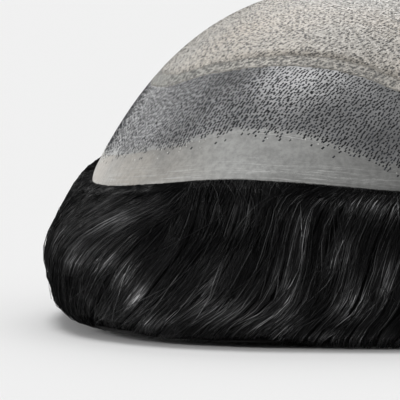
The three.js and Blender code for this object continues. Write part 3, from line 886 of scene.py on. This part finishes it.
def tube_object(name, paths, out, radius, own, material, sides=3):
    """Closed tubes along many paths at once: rings square to each path, tapered to its ends.

    paths is strands x points x 3. Ring k of a strand is its point k plus radius times a regular
    polygon across the tangent, turned so that one corner points across the surface that it lies on.
    own is a random number for each strand, kept in the UV's second axis.
    """
    count, steps, _ = paths.shape
    tangent = unit(np.gradient(paths, axis=1))
    side = unit(np.cross(tangent, out))
    other = np.cross(tangent, side)
    along = np.linspace(0, 1, steps)
    taper = 0.35 + 0.65 * np.minimum(1, np.minimum(along, 1 - along) * 6)
    turn = (2 * np.pi * np.arange(sides) / sides)[:, None]
    ring = np.cos(turn) * side[:, :, None] + np.sin(turn) * other[:, :, None]
    points = paths[:, :, None] + ring * (radius[:, None] * taper)[:, :, None, None]
    step, corner = np.meshgrid(np.arange(steps - 1), np.arange(sides), indexing="ij")
    here = step * sides
    beyond = here + sides
    after = (corner + 1) % sides
    walls = np.stack([
        np.stack([here + corner, here + after, beyond + corner], axis=-1),
        np.stack([beyond + corner, here + after, beyond + after], axis=-1)], axis=2).reshape(-1, 3)
    fan = np.stack([np.zeros(sides - 2, int), np.arange(2, sides), np.arange(1, sides - 1)], axis=-1)
    strand = np.concatenate([walls, fan, (steps - 1) * sides + fan[:, ::-1]])
    first = (np.arange(count) * steps * sides)[:, None, None]
    uv = np.stack(np.broadcast_arrays(along[None, :, None], own[:, None, None]), axis=-1)
    uv = np.broadcast_to(uv, (count, steps, sides, 2)).reshape(-1, 2)
    return mesh_object(name, points.reshape(-1, 3), (first + strand).reshape(-1, 3), material, uv)


class BuildBase(bpy.types.Operator):
    """Builds the net crown, its hem, the skin band and the clear border"""
    bl_idname = "toupee.build_base"
    bl_label = "Base"

    SIDES = 240
    # How far the border's free edge is rounded, as a share of the wall.
    ROUNDING = 0.35
    # The net's flat cut in metres, as it measures over the dome inside its hem, and its area.
    NET_CUT = (0.134, 0.162)
    NET_AREA = 0.0168

    def execute(self, context):
        dome = Dome(context.scene.toupee_base)
        finish = context.scene.toupee_finish
        gap = dome.base.gap
        border = ring_object("border_skin", dome, lambda a: 0 * a, dome.border_end, 12, self.SIDES,
                             border_material(finish), self.ROUNDING)
        band = ring_object("band_skin", dome, dome.border_end, dome.band_end, 16, self.SIDES,
                           band_material(finish))
        hem = ring_object("hem_net", dome, lambda a: dome.band_end(a) + gap, dome.hem_end, 6, self.SIDES,
                          hem_material(finish))
        net = cap_object("crown_net", dome, lambda a: dome.hem_end(a) + gap, 26, self.SIDES, 0.0,
                         dome.base.wall, net_material(finish))
        for piece, node, slot in ((border, "clear_border", "clear_skin"), (band, "skin_band", "knotted_skin"),
                                  (hem, "net_hem", "hem"), (net, "net_crown", "net")):
            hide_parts(node)
            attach(piece, "root")
        return {"FINISHED"}


class BuildKnots(bpy.types.Operator):
    """Ties the rows of knots in the skin band and the net, and lays the beads along the border"""
    bl_idname = "toupee.build_knots"
    bl_label = "Knots"

    # How far a knot is off its row, as a share of the row spacing, and how much more at the sides.
    STRAY = 0.2
    SIDE_STRAY = 1.6
    # Space without knots below the hem, and at the hem's lower edge.
    BAND_MARGIN = 0.3 * MM
    HEM_MARGIN = 0.4 * MM
    # Net knots against the band's: space between rows and along them, length, width and lean.
    NET_ROWS, NET_SPACING, NET_LENGTH, NET_WIDTH, NET_LEAN = 1.32, 1.16, 1.1, 0.83, 1.35
    # How far the strokes stand proud of the skin, the net and the border.
    BAND_PROUD, NET_PROUD, BEAD_PROUD = 0.045 * MM, 0.06 * MM, 0.12 * MM
    # Waves round the rim of the knots' uneven edge, each with its size in millimetres.
    RAGGED_WAVES = ((23, 0.5), (41, 0.4), (67, 0.3), (113, 0.3))
    # Clusters of beads, beads in each, degrees they spread over, and beads on their own.
    CLUSTERS, CLUSTER_BEADS, CLUSTER_SPREAD, LOOSE_BEADS = 40, 5, 0.8, 160

    def execute(self, context):
        dome = Dome(context.scene.toupee_base)
        finish = context.scene.toupee_finish
        rng = np.random.default_rng(SEED)
        self.band_knots(dome, finish, rng)
        self.net_knots_and_glints(dome, finish, rng)
        self.beads(dome, rng)
        return {"FINISHED"}

    def rows_of_knots(self, dome, rows, start_at, row_step, spacing, rng):
        """Angles and distances of knots in staggered rows, each a little off its place."""
        angles, distances = [], []
        for row in rows:
            middle = start_at(ALL_ROUND) + (row + 0.5) * row_step
            angle = row_angles(dome, middle, spacing, 0.5 * (row % 2), rng)
            wander = self.STRAY * row_step * (1 + self.SIDE_STRAY * np.cos(np.radians(angle))**4)
            distance = start_at(angle) + (row + 0.5) * row_step
            angles.append(angle)
            distances.append(distance + rng.normal(0, 1, len(angle)) * wander)
        return np.concatenate(angles), np.concatenate(distances)

    def ragged(self, angle, rng):
        """Uneven edge of the knots along the border: a sum of waves round the rim."""
        turn = np.radians(angle)
        return sum(size * np.sin(k * turn + rng.uniform(0, 2 * np.pi)) for k, size in self.RAGGED_WAVES)

    def band_knots(self, dome, finish, rng):
        """Rows from a little inside the border up to the hem, thinned towards their ragged edge."""
        rows = range(-3, int(1.1 * dome.base.band / finish.knot_rows))
        angle, distance = self.rows_of_knots(
            dome, rows, dome.border_end, finish.knot_rows, finish.knot_spacing, rng)
        depth = distance - dome.border_end(angle) + MM * self.ragged(angle, rng)
        chance = 0.04 + 0.95 * smooth_step(depth / (3.2 * MM) + 0.4)
        under_hem = distance < dome.band_end(angle) - self.BAND_MARGIN
        keep = under_hem & (rng.uniform(size=len(angle)) < chance)
        tones = [(at, tinted(finish.knot_colour, times)) for at, times in BAND_KNOT_TONES]
        size = (finish.knot_length, finish.knot_width)
        knots = knot_object("band_knots", dome, angle[keep], distance[keep], size, finish.knot_lean,
                            self.BAND_PROUD, knot_material("knots", tones), rng)
        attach(knots, "root")

    def net_knots_and_glints(self, dome, finish, rng):
        """Rows from the hem to the crown, fewer on the hem at the sides, wider apart than the band's."""
        step = finish.knot_rows * self.NET_ROWS
        rows = range(-4, int(0.95 * dome.base.half_length / step))
        angle, distance = self.rows_of_knots(
            dome, rows, dome.hem_end, step, finish.knot_spacing * self.NET_SPACING, rng)
        share = dome.share_at(angle, distance)
        side = np.abs(dome.point(angle, share)[:, 0])
        in_middle = 1 - smooth_step((side - HEM_FADES[0]) / (HEM_FADES[1] - HEM_FADES[0]))
        chance = np.where(distance > dome.hem_end(angle), 0.92, 0.4 + 0.5 * in_middle)
        chance *= distance > dome.band_end(angle) + self.HEM_MARGIN
        keep = (share > 0.03) & (rng.uniform(size=len(angle)) < chance)
        size = (finish.knot_length * self.NET_LENGTH, finish.knot_width * self.NET_WIDTH)
        lean = finish.knot_lean * self.NET_LEAN
        knots = knot_object("net_knots_and_glints", dome, angle[keep], distance[keep], size, lean, self.NET_PROUD,
                            knot_material("net_knots_and_glints", NET_KNOT_AND_GLINT_TONES), rng, plain=True)
        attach(knots, "root")

    def beads(self, dome, rng):
        """Clear beads of skin where the border meets the knots, in loose clusters."""
        clusters = rng.uniform(-HALF_TURN, HALF_TURN, self.CLUSTERS)
        spread = rng.normal(0, self.CLUSTER_SPREAD, (self.CLUSTERS, self.CLUSTER_BEADS))
        loose = rng.uniform(-HALF_TURN, HALF_TURN, self.LOOSE_BEADS)
        angle = np.concatenate([(clusters[:, None] + spread).ravel(), loose])
        distance = dome.border_end(angle) + rng.normal(-0.3, 1.1, len(angle)) * MM
        distance = np.maximum(distance, 0.8 * MM)
        beads = knot_object("skin_beads", dome, angle, distance, (0.32 * MM, 0.28 * MM), 0.0,
                            self.BEAD_PROUD, knot_material("skin_beads", BEAD_TONES), rng)
        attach(beads, "root")


class BuildHemYarn(bpy.types.Operator):
    """Lays the two wavering edge yarns of the hem"""
    bl_idname = "toupee.build_hem_yarn"
    bl_label = "Hem yarn"

    POINTS = 1401
    RADIUS = 0.11 * MM
    PROUD = 0.03 * MM
    # Waves round the rim that the yarns waver in, and the least and most of each in millimetres.
    WAVES = (17, 41, 83, 139, 211)
    WAVE_SIZES = (0.04, 0.13)

    def execute(self, context):
        dome = Dome(context.scene.toupee_base)
        rng = np.random.default_rng(SEED + 1)
        angle = np.linspace(-HALF_TURN, HALF_TURN, self.POINTS)
        turn = np.radians(angle)
        paths, outs = [], []
        for edge_at in (dome.band_end, dome.hem_end):
            wander = sum(rng.uniform(*self.WAVE_SIZES) * np.sin(k * turn + rng.uniform(0, 2 * np.pi))
                         for k in self.WAVES)
            share = dome.share_at(angle, edge_at(angle) + wander * MM)
            paths.append(dome.under(angle, share, -self.PROUD))
            outs.append(dome.frame_at(angle, share)[2])
        yarn = tube_object("hem_yarn", np.stack(paths), np.stack(outs), np.full(2, self.RADIUS),
                           np.array([0.3, 0.7]), yarn_material(context.scene.toupee_finish), sides=4)
        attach(yarn, "root")
        return {"FINISHED"}


class BuildHairBody(bpy.types.Operator):
    """Builds the mass of hair under the crown and round the rim, zone by zone"""
    bl_idname = "toupee.build_hair_body"
    bl_label = "Hair body"

    COLUMNS_PER_LOCK = 10
    ROWS = 26
    # Shares of the strand bed: how far the foot comes down behind the strands' feet, and how far
    # the inside stays above it.
    FOOT_DROP = 0.3
    FOOT_WALL = 0.95

    def zone_loops(self, curtain, first, last):
        """Section loops of a zone: roots under the dome, down the outside, and back up the inside."""
        dome, hair = curtain.dome, curtain.hair
        start, end = curtain.lock_edges[first], curtain.lock_edges[last]
        angle = np.linspace(start, end, (last - first) * self.COLUMNS_PER_LOCK + 1)[:, None]
        fall = np.linspace(FIRST_FALL, 1.0, self.ROWS)[None]
        tops, bottoms = [], []
        for tuck, thick, root_fall in ROOT_TABLE:
            rooted = angle[:, 0] + curtain.turn(angle[:, 0], root_fall)
            share = dome.share_at(rooted, max(tuck, 0) * hair.tuck)
            drop = np.array([0, 0, min(tuck, 0) * hair.tuck])
            tops.append(dome.under(rooted, share, hair.clearance) + drop)
            bottoms.append(dome.under(rooted, share, hair.clearance + hair.root_thickness * thick) + drop)
        swept = angle + curtain.turn(angle, fall)
        shape = (curtain.valley(angle), 0.0)
        sunk = hair.strand_bed * smooth_step((fall - FIRST_FALL) * 6)
        outer = curtain.outer(swept, shape, fall, -sunk)
        outer[..., 2] -= self.FOOT_DROP * hair.strand_bed * smooth_step((fall - 0.85) / 0.15)
        inner = curtain.inner(swept, shape, fall)
        inner[..., 2] += (self.FOOT_WALL - self.FOOT_DROP) * hair.strand_bed * fall**8
        outer = np.concatenate([np.stack(tops, axis=1), outer], axis=1)
        inner = np.concatenate([np.stack(bottoms, axis=1), inner], axis=1)
        length = np.radians(angle - start) * dome.radius(angle)
        down = np.linspace(0, 1, outer.shape[1])[None]
        uv = np.stack(np.broadcast_arrays(length, down), axis=-1)
        return [np.concatenate([x, y[:, ::-1]], axis=1) for x, y in ((outer, inner), (uv, uv))]

    def execute(self, context):
        dome = Dome(context.scene.toupee_base)
        hair = context.scene.toupee_hair
        curtain = Curtain(dome, hair)
        material = hair_body_material(hair)
        first = 0
        for node, locks in HAIR_ZONES:
            loops, uv = self.zone_loops(curtain, first, first + locks)
            columns, loop = loops.shape[:2]
            triangles = np.concatenate([
                grid_triangles(columns, loop, closed=False),
                end_triangles(0, loop),
                end_triangles((columns - 1) * loop, loop)[:, ::-1]])
            body = mesh_object(node + "_body", loops.reshape(-1, 3), triangles, material, uv.reshape(-1, 2))
            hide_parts(node)
            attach(body, "root")
            first += locks
        layer = cap_object("crown_hair_body", dome, lambda a: 0 * a + hair.tuck, 16, 120, hair.clearance,
                           hair.clearance + hair.crown_thickness, material)
        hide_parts("crown_hair")
        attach(layer, "root")
        return {"FINISHED"}


def trait(least, more, own):
    """A tress's own value: the least, and its random number's share of what can be added."""
    return least + more * own


class BuildStrands(bpy.types.Operator):
    """Combs the visible strands over the hair, tress by tress, as closed tubes"""
    bl_idname = "toupee.build_strands"
    bl_label = "Strands"

    POINTS = 14
    # Fall at which the spread of the strands is measured, and its limits.
    SPREAD_FALL = 0.65
    SPREAD_LIMITS = (0.5, 7.0)
    # Least clumps in a tress, and one more than the most.
    CLUMPS = (3, 6)
    # Shares of strands that stray and that are cut short, and the most that is cut.
    STRAYS = 0.1
    SHORT = 0.2
    CUT = 0.2
    # Spread in degrees of the swing of strays and of other strands, and of the unevenness at a point.
    STRAY_SWING = 3.5
    SWING = 0.15
    UNEVEN = 0.09
    # How deep between two locks the strands lie, as a share of a valley.
    VALLEY = 0.35
    # How far a root goes up under the border and in under its surface.
    ROOT_DEPTH = 1.2 * MM
    # How much a clump's random number changes its painted highlight.
    CLUMP_PAINTED_HIGHLIGHT = 0.75

    def starts(self, curtain, first, last, count, rng):
        """Random start angles, closer together where the strands spread apart on their way down."""
        angle = np.linspace(first, last, 800)
        below = angle + curtain.combed(angle, np.full((len(angle), 1), self.SPREAD_FALL))[:, 0]
        spread = np.clip(np.gradient(below, angle)[:-1], *self.SPREAD_LIMITS)
        chance = np.concatenate([[0], np.cumsum(spread)])
        return np.interp(rng.uniform(0, chance[-1], count), chance, angle)

    def strand_paths(self, curtain, first, last, count, rng):
        """Paths of many strands at once, with the way out of the hair and the painted highlight at each
        point.

        A strand's angle is its start plus the combed turn at its fall. Each tress of strands has its
        own height and its own waves to the side and in and out, is rounded across, and gathers to its
        middle and to a few finer clumps towards the tips. Lifts are reckoned in millimetres.
        """
        start = self.starts(curtain, first, last, count, rng)
        tress_count = max(int((last - first) / math.degrees(curtain.hair.tress)), 1)
        cuts = np.sort(self.starts(curtain, first, last, tress_count - 1, rng))
        edges = np.concatenate([[first], cuts, [last]])
        tress = np.clip(np.searchsorted(edges, start, side="right") - 1, 0, tress_count - 1)
        width = np.maximum(edges[1:] - edges[:-1], 0.1)[tress]
        middle = (edges[1:] + edges[:-1])[tress] / 2
        across = (start - middle) / width
        own = rng.uniform(size=(10, tress_count))[:, tress][..., None]
        clumps = rng.integers(*self.CLUMPS, tress_count)[tress]
        clump = np.floor((across + 0.5) * clumps)
        clump_middle = (clump + 0.5) / clumps - 0.5
        clump_own = rng.uniform(-1, 1, (tress_count, 6))[tress, np.clip(clump.astype(int), 0, 5)]
        stray = rng.uniform(size=count) < self.STRAYS
        cut = np.where(rng.uniform(size=count) < self.SHORT, rng.uniform(0, self.CUT, count), 0)

        s = np.linspace(0, 1, self.POINTS)[None]
        tip = trait(0.97, 0.03, own[0]) - cut[:, None]
        fall = FIRST_FALL + (tip - FIRST_FALL) * s
        gathered = clump_middle[:, None] + (across - clump_middle)[:, None] * (1 - 0.5 * s)
        gathered = gathered * (1 - trait(0.05, 0.2, own[1]) * s**1.6)
        combed_from = middle[:, None] + trait(1.1, 0.3, own[3]) * gathered * width[:, None]
        combed_more = trait(0.93, 0.14, own[2]) + rng.normal(0, 0.02, count)[:, None]
        side_waves = np.sin(2 * np.pi * (trait(0.8, 0.8, own[5]) * s + own[6]))
        angle = combed_from + combed_more * curtain.combed(start, fall)
        angle = angle + trait(0.1, 0.4, own[4]) * side_waves * smooth_step(3 * s)
        swing = np.where(stray, rng.normal(0, self.STRAY_SWING, count), rng.normal(0, self.SWING, count))
        angle = angle + swing[:, None] * np.sin(np.pi * (s * rng.uniform(0.6, 1.6, count)[:, None]))
        angle = angle + rng.normal(0, self.UNEVEN, angle.shape) * smooth_step(3 * s)

        in_out = np.sin(2 * np.pi * (trait(1.0, 1.2, own[8]) * s + own[9]))
        rounded = 0.6 * (1 - 4 * across**2)[:, None] + 0.7 * (own[3] - 0.5)
        above = np.where(stray, rng.uniform(0.1, 0.6, count), 0)
        jitter = rng.uniform(-0.15, 0.2, count) + 0.12 * clump_own + above
        lift = -0.5 + trait(0.25, 0.65, own[7]) * in_out + rounded + jitter[:, None]
        lift = lift * smooth_step(4 * s) * (1 - 0.8 * smooth_step(6 * fall - 5))
        at_rim = rng.uniform(0.3, 1.0, count)[:, None] * (1 - smooth_step(s / 0.08))
        dip = rng.uniform(0.2, 1.4, count)[:, None] * np.sin(np.pi * np.clip(s / 0.2, 0, 1))
        lift = (lift + at_rim - dip) * MM
        shape = (self.VALLEY, own[6])
        paths = curtain.outer(angle, shape, fall, lift)
        out = curtain.outer(angle, shape, fall, lift + MM) - paths
        share = curtain.dome.share_at(angle[:, 0], self.ROOT_DEPTH)
        root = curtain.dome.under(angle[:, 0], share, self.ROOT_DEPTH)
        painted_highlight = curtain.painted_highlight(angle, fall) * (1 + self.CLUMP_PAINTED_HIGHLIGHT * clump_own)[:, None]
        starts = (root[:, None], out[:, :1], painted_highlight[:, :1])
        return [np.concatenate(pair, axis=1) for pair in zip(starts, (paths, out, painted_highlight))]

    def execute(self, context):
        hair = context.scene.toupee_hair
        curtain = Curtain(Dome(context.scene.toupee_base), hair)
        material = strand_material(hair)
        rng = np.random.default_rng(SEED + 3)
        for name, first, last, count in STRAND_RUNS:
            paths, out, painted_highlight = self.strand_paths(curtain, first, last, count, rng)
            radius = hair.strand / 2 * rng.uniform(0.75, 1.25, count)
            tubes = tube_object(name, paths, out, radius, rng.uniform(0, 1, count), material)
            # Painted highlight at each point, which the strand material reads.
            layer = tubes.data.attributes.new("painted_highlight", "FLOAT", "POINT")
            layer.data.foreach_set("value", np.repeat(flat(painted_highlight), 3))
            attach(tubes, "root")
        return {"FINISHED"}


class BuildStage(bpy.types.Operator):
    """Sets the pale floor, the soft lights and the camera at the photograph's angle"""
    bl_idname = "toupee.build_stage"
    bl_label = "Stage"

    FLOOR_HALF = 12.0
    FLOOR_GREY = 0.835
    TARGET = (-0.051, -0.060, 0.034)
    DISTANCE = 1.6
    ELEVATION = math.radians(3.2)
    LENS = 576.0
    FARTHEST = 50.0
    WORLD_STRENGTH = 0.37
    # Soft lights far away: name, where each stands as seen from the object, strength and spread.
    LIGHTS = (
        ("overhead", (-0.15, 0.25, 0.95), 1.25, 24.0),
        ("behind", (0.1, 0.8, 0.58), 0.8, 36.0),
        ("low_left", (-0.97, 0.17, 0.16), 1.1, 24.0),
        ("front_left", (-0.85, -0.3, 0.42), 0.7, 16.0),
    )

    def floor(self):
        half = self.FLOOR_HALF
        corners = [(-half, -half, 0), (half, -half, 0), (half, half, 0), (-half, half, 0)]
        mesh = bpy.data.meshes.new("floor")
        mesh.from_pydata(corners, [], [(0, 1, 2, 3)])
        look = Look("pale_floor", 0.9, specular=0.0)
        look.shader.inputs["Base Color"].default_value = rgba(self.FLOOR_GREY)
        mesh.materials.append(look.material)
        floor = bpy.data.objects.new("floor", mesh)
        bpy.context.scene.collection.objects.link(floor)

    def soft_light(self, name, place, strength, spread):
        light = bpy.data.lights.new(name, "SUN")
        light.energy = strength
        light.angle = math.radians(spread)
        lamp = bpy.data.objects.new(name, light)
        bpy.context.scene.collection.objects.link(lamp)
        lamp.rotation_euler = self.looking(place, (0, 0, 0))

    def looking(self, place, aim):
        return (Vector(aim) - Vector(place)).to_track_quat("-Z", "Y").to_euler()

    def camera(self, scene):
        camera = bpy.data.objects.new("camera", bpy.data.cameras.new("camera"))
        scene.collection.objects.link(camera)
        back = self.DISTANCE * math.cos(self.ELEVATION)
        up = self.DISTANCE * math.sin(self.ELEVATION)
        camera.location = (self.TARGET[0], self.TARGET[1] - back, self.TARGET[2] + up)
        camera.rotation_euler = self.looking(camera.location, self.TARGET)
        camera.data.lens = self.LENS
        camera.data.clip_end = self.FARTHEST
        scene.camera = camera

    def execute(self, context):
        self.floor()
        world = bpy.data.worlds.new("studio")
        world.use_nodes = True
        background = world.node_tree.nodes["Background"]
        background.inputs["Color"].default_value = (1.0, 1.0, 1.0, 1.0)
        background.inputs["Strength"].default_value = self.WORLD_STRENGTH
        context.scene.world = world
        for light in self.LIGHTS:
            self.soft_light(*light)
        self.camera(context.scene)
        context.scene.view_settings.view_transform = "Standard"
        return {"FINISHED"}


OPERATORS = (BuildStage, BuildBase, BuildHemYarn, BuildKnots, BuildHairBody, BuildStrands)
GROUPS = (("toupee_base", BaseSettings), ("toupee_finish", FinishSettings), ("toupee_hair", HairSettings))


class ToupeePanel(bpy.types.Panel):
    """Lists the steps that build the hairpiece, with their sizes and colours"""
    bl_idname = "VIEW3D_PT_toupee"
    bl_label = "Toupee"
    bl_space_type = "VIEW_3D"
    bl_region_type = "UI"
    bl_category = "Toupee"

    def draw(self, context):
        for operator in OPERATORS:
            self.layout.operator(operator.bl_idname)
        for name, group in GROUPS:
            box = self.layout.box()
            for key in group.__annotations__:
                box.prop(getattr(context.scene, name), key)


def register():
    for name, group in GROUPS:
        bpy.utils.register_class(group)
        setattr(bpy.types.Scene, name, bpy.props.PointerProperty(type=group))
    for cls in (*OPERATORS, ToupeePanel):
        bpy.utils.register_class(cls)


def unregister():
    for cls in reversed((*OPERATORS, ToupeePanel)):
        bpy.utils.unregister_class(cls)
    for name, group in reversed(GROUPS):
        delattr(bpy.types.Scene, name)
        bpy.utils.unregister_class(group)


def main():
    register()
    for operator in OPERATORS:
        category, name = operator.bl_idname.split(".")
        getattr(getattr(bpy.ops, category), name)()


if __name__ == "__main__":
    main()
